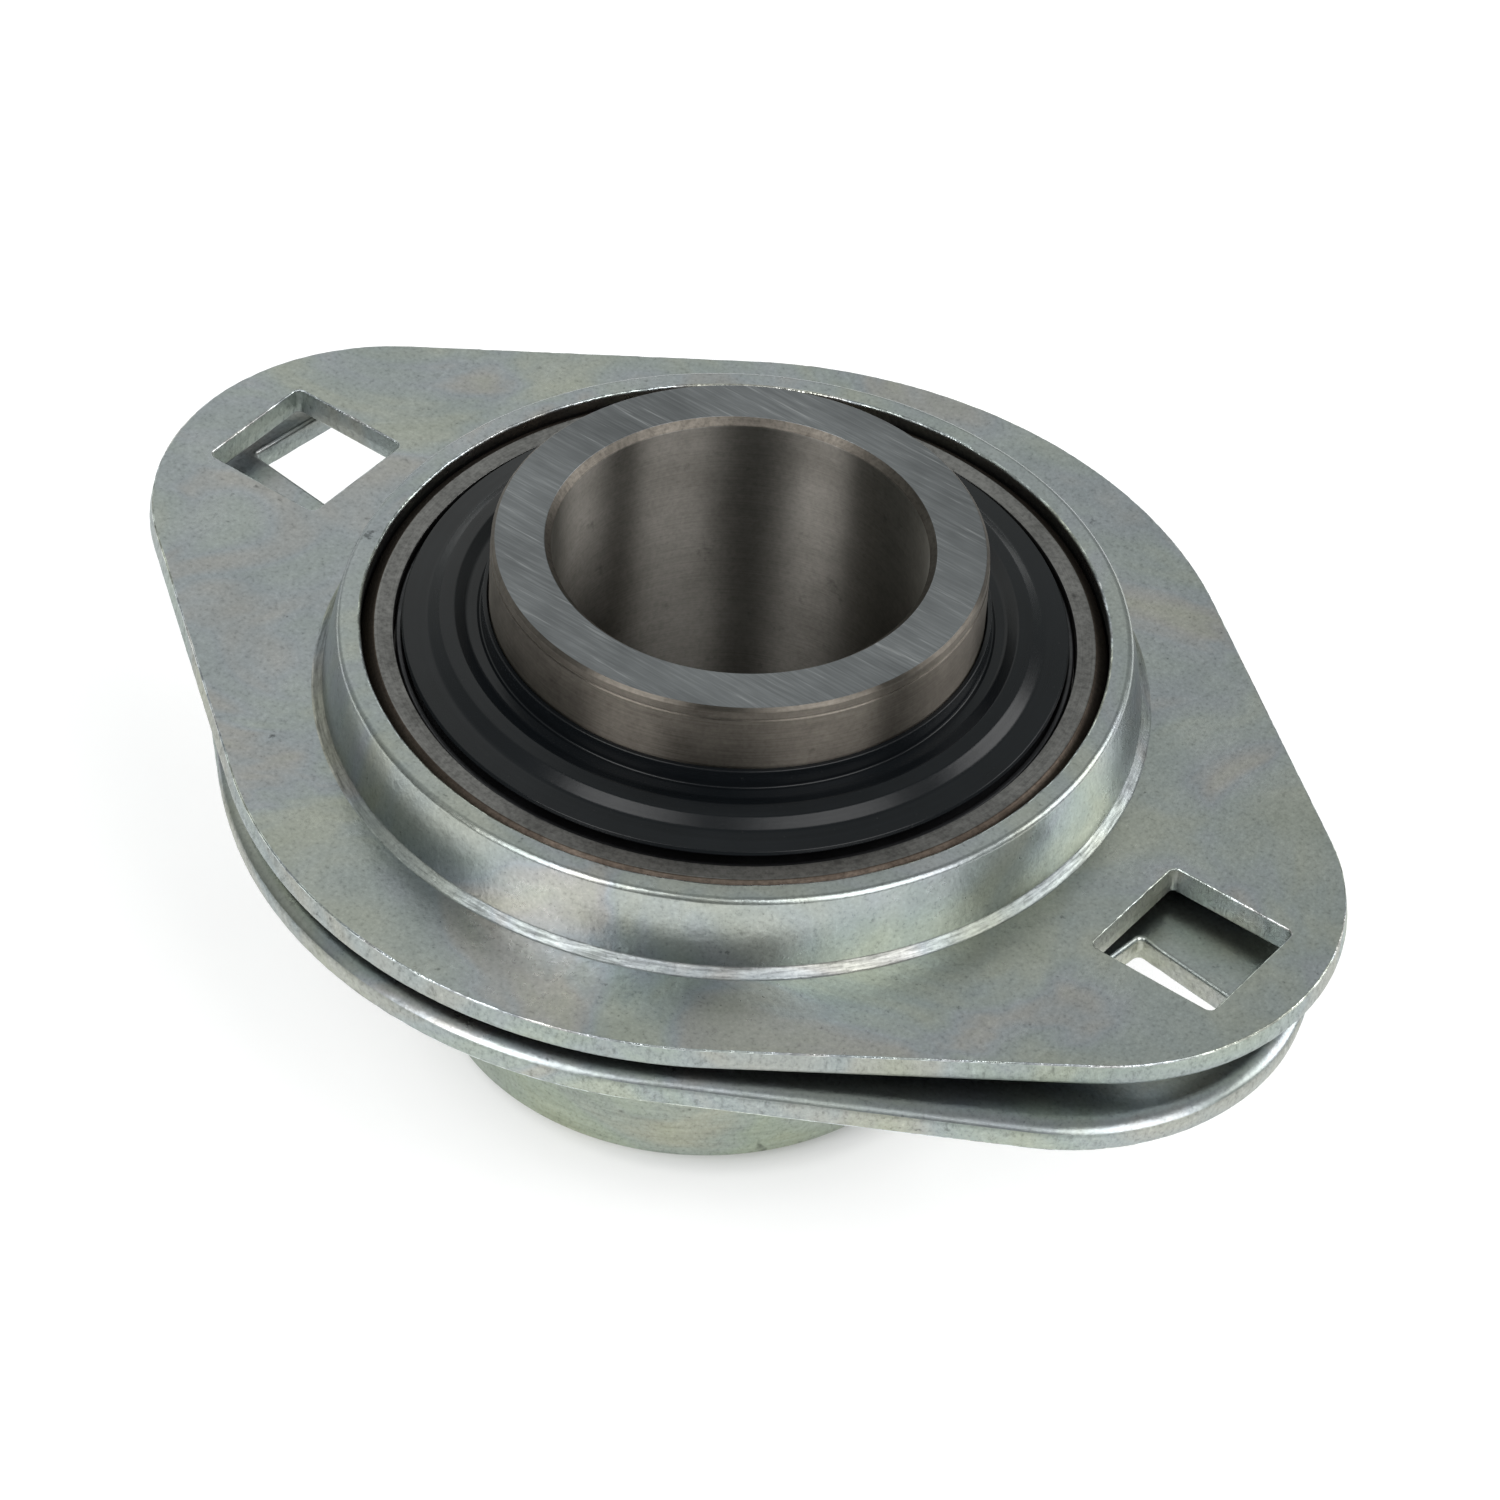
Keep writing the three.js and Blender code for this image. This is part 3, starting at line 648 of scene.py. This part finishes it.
def housing_half(name, plate, seed, z0, flip, turn):
    b = Build()
    seg = 288

    def wobble(t, r, z):
        """Small unevenness of the pressing, most at the rim."""
        if z > BOWL_H - 0.4:
            depth = 0.03 if r > OPENING_R + 0.3 else 0.06
            return depth * rough(t, 9.0, seed), 0.03 * rough(t, 30.0, seed + 5)
        return 0.015 * rough(t, 14.0, seed, z * 0.4), 0.0

    profile = bowl_profile()
    loops = []
    for i, (r, z, h) in enumerate(profile):
        end = i in (0, len(profile) - 1)
        loops.append(circle(b, r, z, h, seg, wobble=None if end else wobble))
    for i, (lower, upper) in enumerate(zip(loops, loops[1:])):
        mid_r = (profile[i][0] + profile[i + 1][0]) / 2
        mid_z = (profile[i][1] + profile[i + 1][1]) / 2
        band = mid_z > SHEET - 0.01 and BAND_R - 0.01 < mid_r < FOOT_R + 0.12
        # the mouth of the opening gets the burr zinc too, with its painted glints in dashes
        mouth = mid_z > BOWL_H - 0.3 and mid_r < OPENING_R + 0.22
        b.bridge(lower, upper, DRAWN if band else TORN if mouth else PLATE)
    edge_low, edge_top = sheared_edge(b, outline, seed, EDGE_ROLL)
    holes = [sheared_edge(b, partial(square, s * HOLE_X), seed + s, HOLE_ROLL) for s in (1, -1)]
    cap(b, edge_top, [loops[0]] + [top for low, top in holes], True)
    cap(b, edge_low, [loops[-1]] + [low for low, top in holes], False)
    place(b, z0, flip, turn)
    return b.piece(name, [plate, M_ZINC_CUT, M_ZINC_DRAWN, M_ZINC_BURR])


def attach(piece, body, slot, *nodes):
    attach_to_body(piece, body)
    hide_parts(*nodes)


attach(housing_half("upper_stamping", M_ZINC, 1.3, BALL_Z + UPPER_LIFT, False, 0.0),
       "upper_housing", "housing_zinc", "housing_upper_half")
attach(housing_half("lower_stamping", M_ZINC_LOW, 7.7, BALL_Z - LOWER_DROP, True, LOWER_TURN),
       "lower_housing", "housing_zinc", "housing_lower_half")


# ---------------------------------------------------------------- insert rings
def groove(centre_r, half, side):
    """Raceway groove as profile points, cut into the inner ring (side -1) or the outer (side 1)."""
    angles = np.linspace(side * half, -side * half, 17)
    return [(centre_r + side * RACE_R * math.cos(a), RACE_R * math.sin(a), 0) for a in angles]


def outer_ring():
    top = OUTER_HALF
    sphere_z = 8.35
    sphere = [(math.sqrt(SPHERE_R ** 2 - z * z), z, 0) for z in np.linspace(-sphere_z, sphere_z, 25)]
    centre_r = OUTER_TRACK_R - RACE_R
    race = groove(centre_r, math.acos((OUTER_LAND_R - centre_r) / RACE_R), 1)
    pts = [(SEAL_GROOVE_R, -top, 0.12), (FACE_EDGE_R, -top, 0.35)]
    pts += sphere
    pts += [(FACE_EDGE_R, top, 0.35), (SEAL_GROOVE_R, top, 0.12)]
    pts += [(SEAL_GROOVE_R, SEAL_GROOVE_Z, 0.1), (OUTER_LAND_R, SEAL_GROOVE_Z, 0.15)]
    pts += race
    pts += [(OUTER_LAND_R, -SEAL_GROOVE_Z, 0.15), (SEAL_GROOVE_R, -SEAL_GROOVE_Z, 0.1)]
    profile = rounded(pts, 0.0, 6)
    materials = [M_OUTER, M_RACE, M_SPHERE]
    face, track, outside = range(3)

    def slot_of(p, q):
        if min(p[0], q[0]) > FACE_EDGE_R - 0.05:
            return outside
        in_groove = max(abs(p[1]), abs(q[1])) < 4.4 and max(p[0], q[0]) < 28.5
        return track if in_groove else face

    return turned("outer_race_ring", profile, materials, 224, BALL_Z, slot_of=slot_of)


def inner_ring():
    centre_r = INNER_TRACK_R + RACE_R
    half = math.acos((centre_r - INNER_R) / RACE_R)
    race = groove(centre_r, half, -1)
    land = RACE_R * math.sin(half) + 0.1
    h = INNER_HALF
    pts = [(BORE_R + 0.62, -h, 0.1), (CAM_R - 0.4, -h, 0.12), (CAM_R, -h + 0.4, 0.12)]
    pts += [(CAM_R, CAM_TOP, 0.15), (INNER_R, CAM_TOP, 0.12), (INNER_R, -land)]
    pts += race
    # fine groove just under the top edge, then the chamfers
    pts += [(INNER_R, land), (INNER_R, h - 1.2, 0.05), (INNER_R - 0.12, h - 1.1, 0.05)]
    pts += [(INNER_R - 0.03, h - 0.95, 0.08), (INNER_R - 0.06, h - 0.3, 0.1), (INNER_R - 0.34, h, 0.10)]
    pts += [(BORE_R + 0.60, h, 0.10), (BORE_R, h - 0.60, 0.25), (BORE_R, -h + 0.6, 0.2)]
    profile = rounded(pts, 0.0, 6)
    materials = [M_FACE, M_SIDE, M_BORE, M_RACE, M_EDGE]
    end_face, outside, bore, track, chamfer = range(5)

    def centre(r, z):
        eccentric = z < CAM_TOP + 0.3 and CAM_R - 0.6 < r <= CAM_R + 0.16
        return (THROW_X, THROW_Y) if eccentric else (0.0, 0.0)

    def slot_of(p, q):
        low, high = sorted((abs(p[1]), abs(q[1])))
        reach = max(p[0], q[0])
        if reach < BORE_R + 0.04:
            return bore
        if high < 3.9:
            return track
        if low > h - 0.03:
            return end_face
        return chamfer if reach < BORE_R + 0.7 else outside

    return turned("inner_race_ring", profile, materials, 224, BALL_Z, centre=centre, slot_of=slot_of)


def seal_plate(side):
    pts = [(21.4, 7.25), (27.25, 7.25), (27.25, 8.6), (26.75, 8.6), (26.55, 7.85), (21.4, 7.85)]
    return turned(side + "_seal_strip", rounded(pts, 0.2), [M_PLATE], 128, BALL_Z, side == "lower")


def seal_lip(side):
    pts = [(20.05, 7.0), (21.25, 7.0), (21.3, 7.92), (22.6, 7.92)]
    pts += [(22.3, 8.65), (20.9, 8.5), (20.3, 8.2), (20.05, 8.45)]
    return turned(side + "_seal_rubber_lip", rounded(pts, 0.12), [M_RUBBER], 128, BALL_Z, side == "lower")


def slinger(side):
    """Pressed disc: a hub on the ring, a ridge, and a sloping band down to the rim."""
    low = [(19.95, 9.7, 0.1), (20.6, 10.05, 0.3), (21.6, 10.12, 0.8), (22.6, 10.44, 0.4)]
    low += [(23.5, 10.22, 0.5), (24.55, 9.52, 0.9), (26.55, 9.2, 0.1)]
    top = [(26.8, 9.45, 0.1), (26.65, 9.72, 0.1), (24.75, 10.05, 0.9), (23.75, 10.74, 0.5)]
    top += [(22.6, 10.98, 0.35), (21.6, 10.64, 0.8), (20.78, 10.72, 0.16), (20.44, 10.62, 0.3)]
    hub = [(20.36, 12.3, 0.1), (19.95, 12.3, 0.1)]
    profile = rounded(low + top + hub, 0.1, 6)
    return turned(side + "_slinger_disc", profile, [M_FLINGER], 224, BALL_Z, side == "lower")


attach(outer_ring(), "outer_race", "ring_steel", "outer_ring")
attach(inner_ring(), "inner_race", "ring_steel", "inner_ring")
for side in ("upper", "lower"):
    attach(seal_plate(side), "outer_race", "seal_plate", side + "_seal_plate")
    attach(seal_lip(side), "outer_race", "seal_rubber", side + "_seal_lip")
    attach(slinger(side), "inner_race", "flinger_black", side + "_flinger")


# ---------------------------------------------------------------- balls, cage and rivets
def ball(index):
    a = 2 * math.pi * index / BALLS
    cx, cy = PITCH_R * math.cos(a), PITCH_R * math.sin(a)
    rings, seg = 23, 40
    normals, faces = [(0, 0, -1)], []
    for i in range(1, rings + 1):
        lat = -math.pi / 2 + math.pi * i / (rings + 1)
        for k in range(seg):
            t = 2 * math.pi * k / seg
            normals.append((math.cos(lat) * math.cos(t), math.cos(lat) * math.sin(t), math.sin(lat)))
    normals.append((0, 0, 1))
    last = len(normals) - 1
    for k in range(seg):
        n = (k + 1) % seg
        faces.append((0, 1 + n, 1 + k))
        faces.append((last, 1 + (rings - 1) * seg + k, 1 + (rings - 1) * seg + n))
        for i in range(rings - 1):
            lo, hi = 1 + i * seg, 1 + (i + 1) * seg
            faces.append((lo + k, lo + n, hi + n, hi + k))
    r = BALL_R * 0.999
    verts = [(cx + r * x, cy + r * y, BALL_Z + r * z) for x, y, z in normals]
    return mesh_piece(f"steel_ball_{index + 1}", verts, faces, normals, [M_BALL])


def cage_height(r, t, ball_r, land):
    """Height of one face of the cage strip: a land between the balls, a dome over each."""
    step = 2 * math.pi / BALLS
    dt = (t + step / 2) % step - step / 2
    d2 = r * r + PITCH_R ** 2 - 2 * r * PITCH_R * math.cos(dt)
    dome = math.sqrt(max(ball_r ** 2 - d2, 0.0))
    return math.sqrt(land * land + dome * dome) if dome > 0 else land


def cage_ribbon(side):
    """Pressed strip: lands between the balls and a half pocket round each ball."""
    seg, across = 432, 6
    # dome radius and height of the land, for the ball side and the outside of the strip
    layers = ((BALL_R + 0.3, 0.05), (BALL_R + 1.05, 0.80))
    grid = {}
    verts, faces = [], []
    for k in range(seg):
        t = 2 * math.pi * k / seg
        for j, r in enumerate(np.linspace(21.4, 24.6, across + 1)):
            for layer, (ball_r, land) in enumerate(layers):
                grid[k, j, layer] = len(verts)
                verts.append((r * math.cos(t), r * math.sin(t), cage_height(r, t, ball_r, land)))
    for k in range(seg):
        n = (k + 1) % seg
        for j in range(across):
            faces.append((grid[k, j, 1], grid[k, j + 1, 1], grid[n, j + 1, 1], grid[n, j, 1]))
            faces.append((grid[k, j, 0], grid[n, j, 0], grid[n, j + 1, 0], grid[k, j + 1, 0]))
        faces.append((grid[k, across, 0], grid[n, across, 0], grid[n, across, 1], grid[k, across, 1]))
        faces.append((grid[k, 0, 0], grid[k, 0, 1], grid[n, 0, 1], grid[n, 0, 0]))
    flip = -1 if side == "lower" else 1
    verts = [(x, flip * y, BALL_Z + flip * z) for x, y, z in verts]
    obj = mesh_piece(side + "_cage_strip", verts, faces, None, [M_CAGE])
    obj.data.set_sharp_from_angle(angle=math.radians(40))
    return obj


def rivet(index):
    """Rivet through both cage lands, with a domed head at each end."""
    a = 2 * math.pi * (index + 0.5) / BALLS
    seat = 0.86
    shank_r, head_r = 0.75, 1.35
    pts = [(0.35, -seat - 0.52, 0.1), (0.95, -seat - 0.42, 0.3), (head_r, -seat, 0.1)]
    pts += [(shank_r, -seat, 0.05), (shank_r, seat, 0.05)]
    pts += [(head_r, seat, 0.1), (0.95, seat + 0.42, 0.3), (0.35, seat + 0.52, 0.1)]
    b = Build()
    b.rod([circle(b, r, z, h, 24) for r, z, h in rounded(pts, 0.1, 4, closed=False)])
    cx, cy = PITCH_R * math.cos(a), PITCH_R * math.sin(a)
    b.verts = [(x + cx, y + cy, z + BALL_Z) for x, y, z in b.verts]
    return b.piece(f"cage_rivet_pin_{index + 1}", [M_RIVET])


for side in ("upper", "lower"):
    attach(cage_ribbon(side), "ball_cage", "cage_steel", f"cage_{side}_ribbon")
for i in range(BALLS):
    attach(ball(i), f"ball_body_{i + 1}", "ball_steel", f"ball_{i + 1}")
    attach(rivet(i), "ball_cage", "rivet_steel", f"cage_rivet_{i + 1}")


# ---------------------------------------------------------------- locking collar and grub screw
def along_radius(verts, angle):
    """Lays a piece made round the z axis along a radius of the collar, at the screw's height."""
    c, s = math.cos(angle), math.sin(angle)
    return [(2 * THROW_X + z * c - y * s, 2 * THROW_Y + z * s + y * c, SCREW_Z - x) for x, y, z in verts]


def cut(piece, name, profile, angle):
    """Cuts a hole of (radius, distance from the axis) steps along a radius of the collar."""
    b = Build()
    b.rod([circle(b, r, z, 0.0, 48) for r, z in profile])
    tool = mesh_piece(name, along_radius(b.verts, angle), b.faces)
    modifier = piece.modifiers.new("cut", "BOOLEAN")
    modifier.operation, modifier.solver, modifier.object = "DIFFERENCE", "EXACT", tool
    graph = bpy.context.evaluated_depsgraph_get()
    mesh = bpy.data.meshes.new_from_object(piece.evaluated_get(graph))
    piece.modifiers.clear()
    old = piece.data
    piece.data = mesh
    bpy.data.meshes.remove(old)
    bpy.data.objects.remove(tool)


def collar():
    c = COLLAR_CHAMFER
    recess_r, recess_z, bore_r = 18.8, 11.5, 15.2
    # the loops at 1.9 and 9.8 keep the faces round the two holes short
    pts = [(bore_r + 0.7, 0.0, 0.15), (COLLAR_R - c, 0.0, 0.35), (COLLAR_R, c, 0.35)]
    pts += [(COLLAR_R, 1.9), (COLLAR_R, 9.8)]
    pts += [(COLLAR_R, COLLAR_H - c, 0.35), (COLLAR_R - c, COLLAR_H, 0.3)]
    pts += [(recess_r + 0.4, COLLAR_H, 0.1), (recess_r, COLLAR_H - 0.4, 0.1), (recess_r, recess_z, 0.2)]
    pts += [(bore_r, recess_z, 0.2), (bore_r, 0.7, 0.15)]

    def centre(r, z):
        """The cam recess has one throw, and the outside and the bore have two."""
        recess = z > recess_z - 0.3 and bore_r + 0.5 <= r < recess_r + 0.5
        return (THROW_X, THROW_Y) if recess else (2 * THROW_X, 2 * THROW_Y)

    piece = turned("eccentric_collar", rounded(pts, 0.0, 6), [M_COLLAR], 192, 0.0, centre=centre)
    threaded = [(2.9, 13.5), (2.9, 21.1), (2.95, 21.3), (3.6, 21.95), (3.6, 24.0)]
    cut(piece, "screw_hole_tool", threaded, SCREW_ANGLE)
    drift = [(2.2, 17.9), (3.0, 18.6), (3.0, 21.3), (3.5, 21.95), (3.5, 24.0)]
    cut(piece, "drift_hole_tool", drift, SCREW_ANGLE + math.pi / 2)
    piece.data.set_sharp_from_angle(angle=math.radians(28))
    return piece


def grub_screw():
    """Hexagon-socket screw with a cup point; the thread is rolled in rings."""
    inner, outer = 15.65, 21.6
    root_r, crest_r, pitch = 2.42, 2.83, 0.75
    hexagon, socket_depth = 1.73, 2.6
    seg = 48
    # up the cup point, along the thread and over the outer end
    rows = [(0.25, inner + 0.55), (1.15, inner + 0.12), (1.5, inner + 0.02)]
    rows += [(1.85, inner + 0.08), (2.25, inner + 0.5)]
    z = inner + pitch
    while z < outer - 0.9:
        rows += [(root_r, z), (crest_r, z + 0.30), (crest_r, z + 0.42), (root_r, z + 0.72)]
        z += pitch
    rows += [(2.55, outer - 0.3), (2.25, outer)]
    b = Build()
    loops = [circle(b, r, z, 0.0, seg) for r, z in rows]
    for depth, grow in ((outer, 1.06), (outer - 0.15, 1.0), (outer - socket_depth, 1.0)):
        pts = []
        for k in range(seg):
            t = 2 * math.pi * k / seg
            from_flat = (t % (math.pi / 3)) - math.pi / 6
            r = grow * hexagon * math.cos(math.pi / 6) / math.cos(from_flat)
            pts.append((r * math.cos(t), r * math.sin(t), depth))
        loops.append(b.loop(pts, [(0, 0, 1)] * seg))
    b.rod(loops)
    verts = along_radius(b.verts, SCREW_ANGLE)
    obj = mesh_piece("socket_grub_screw", verts, b.faces, None, [M_SCREW])
    obj.data.set_sharp_from_angle(angle=math.radians(30))
    return obj


attach(collar(), "collar", "collar_zinc", "locking_collar")
attach(grub_screw(), "screw", "screw_black", "grub_screw")


# ---------------------------------------------------------------- stage, light and camera
CAM_AZ = -55.0  # the direction from the part to the camera, seen from above


def direction(azimuth, elevation):
    """Unit vector towards a place given in degrees."""
    a, e = math.radians(azimuth), math.radians(elevation)
    return Vector((math.cos(e) * math.cos(a), math.cos(e) * math.sin(a), math.sin(e)))


def floor():
    half = 4.0
    verts = [(-half, -half, 0), (half, -half, 0), (half, half, 0), (-half, half, 0)]
    mesh = bpy.data.meshes.new("pale_floor")
    mesh.from_pydata(verts, [], [(0, 1, 2, 3)])
    obj = bpy.data.objects.new("pale_floor", mesh)
    bpy.context.scene.collection.objects.link(obj)
    n = Nodes("floor_paint")
    colour = n.ramp(n.noise(40.0, 3.0), [(0.3, 0.66), (0.7, 0.68)])
    rough_value = n.ramp(n.noise(200.0, 3.0), [(0.3, 0.72), (0.7, 0.82)])
    # lit from below like a light table; the glow is left out right under the bore, as painted shade there
    far = n.add("ShaderNodeVectorMath", operation="LENGTH")
    n.link(n.coord, far.inputs[0])
    glow_and_painted_shade = n.ramp(far.outputs["Value"], [(0.019, 0.0), (0.024, 0.54)])
    n.link(glow_and_painted_shade, n.bsdf.inputs["Emission Strength"])
    mesh.materials.append(n.finish(colour, rough_value, metallic=0.0, Emission_Color=(1, 1, 1, 1)))
    obj.location.z = -0.00002  # just clear of the collar's end face


def softbox(name, azimuth, elevation, width, height, power):
    """Area light turned towards the part. Sizes are in metres and power in watts."""
    data = bpy.data.lights.new(name, "AREA")
    data.shape, data.size, data.size_y = "RECTANGLE", width, height
    data.energy = power
    obj = bpy.data.objects.new(name, data)
    bpy.context.scene.collection.objects.link(obj)
    target = Vector((0, 0, 0.03))
    distance = 0.9
    obj.location = target + distance * direction(azimuth, elevation)
    obj.rotation_euler = (obj.location - target).to_track_quat("Z", "Y").to_euler()


def lights():
    world = bpy.data.worlds.new("studio")
    world.use_nodes = True
    tree = world.node_tree
    background = tree.nodes["Background"]
    background.inputs["Strength"].default_value = 1.0
    # a dim room with one pale wall, behind the part as the camera sees it
    coord = tree.nodes.new("ShaderNodeTexCoord")
    dot = tree.nodes.new("ShaderNodeVectorMath")
    dot.operation = "DOT_PRODUCT"
    dot.inputs[1].default_value = direction(CAM_AZ + 200, 36)
    shade = tree.nodes.new("ShaderNodeValToRGB")
    stops = shade.color_ramp.elements
    stops[0].position, stops[0].color = 0.45, (0.15, 0.16, 0.155, 1)
    stops[1].position, stops[1].color = 0.96, (0.80, 0.82, 0.80, 1)
    stops.new(0.90).color = (0.44, 0.46, 0.45, 1)
    tree.links.new(coord.outputs["Generated"], dot.inputs[0])
    tree.links.new(dot.outputs["Value"], shade.inputs["Fac"])
    tree.links.new(shade.outputs["Color"], background.inputs["Color"])
    bpy.context.scene.world = world
    softbox("softbox_left", CAM_AZ - 46, 42, 0.44, 0.84, 4.3)
    softbox("softbox_right", CAM_AZ + 43, 42, 0.60, 0.84, 5.0)
    softbox("side_right", CAM_AZ + 106, 28, 0.50, 0.50, 2.6)


def camera():
    """Long lens, looking down on the part and rolled a little."""
    elevation, roll = 42.62, math.radians(3.73)
    distance, aside, below = 501.6, 1.58, 3.09
    right = direction(CAM_AZ + 90, 0)
    back = direction(CAM_AZ, elevation)
    up = back.cross(right)
    c, s = math.cos(roll), math.sin(roll)
    right, up = c * right + s * up, -s * right + c * up
    at = Vector((0, 0, BALL_Z)) + back * distance + right * aside - up * below
    data = bpy.data.cameras.new("camera")
    data.sensor_width, data.lens = 36.0, 148.296
    data.clip_start, data.clip_end = 0.01, 20.0
    obj = bpy.data.objects.new("camera", data)
    bpy.context.scene.collection.objects.link(obj)
    rows = Matrix((right, up, back)).transposed().to_4x4()
    obj.matrix_world = Matrix.Translation(at * MM) @ rows
    bpy.context.scene.camera = obj


floor()
lights()
camera()
bpy.context.scene.view_settings.view_transform = "Standard"
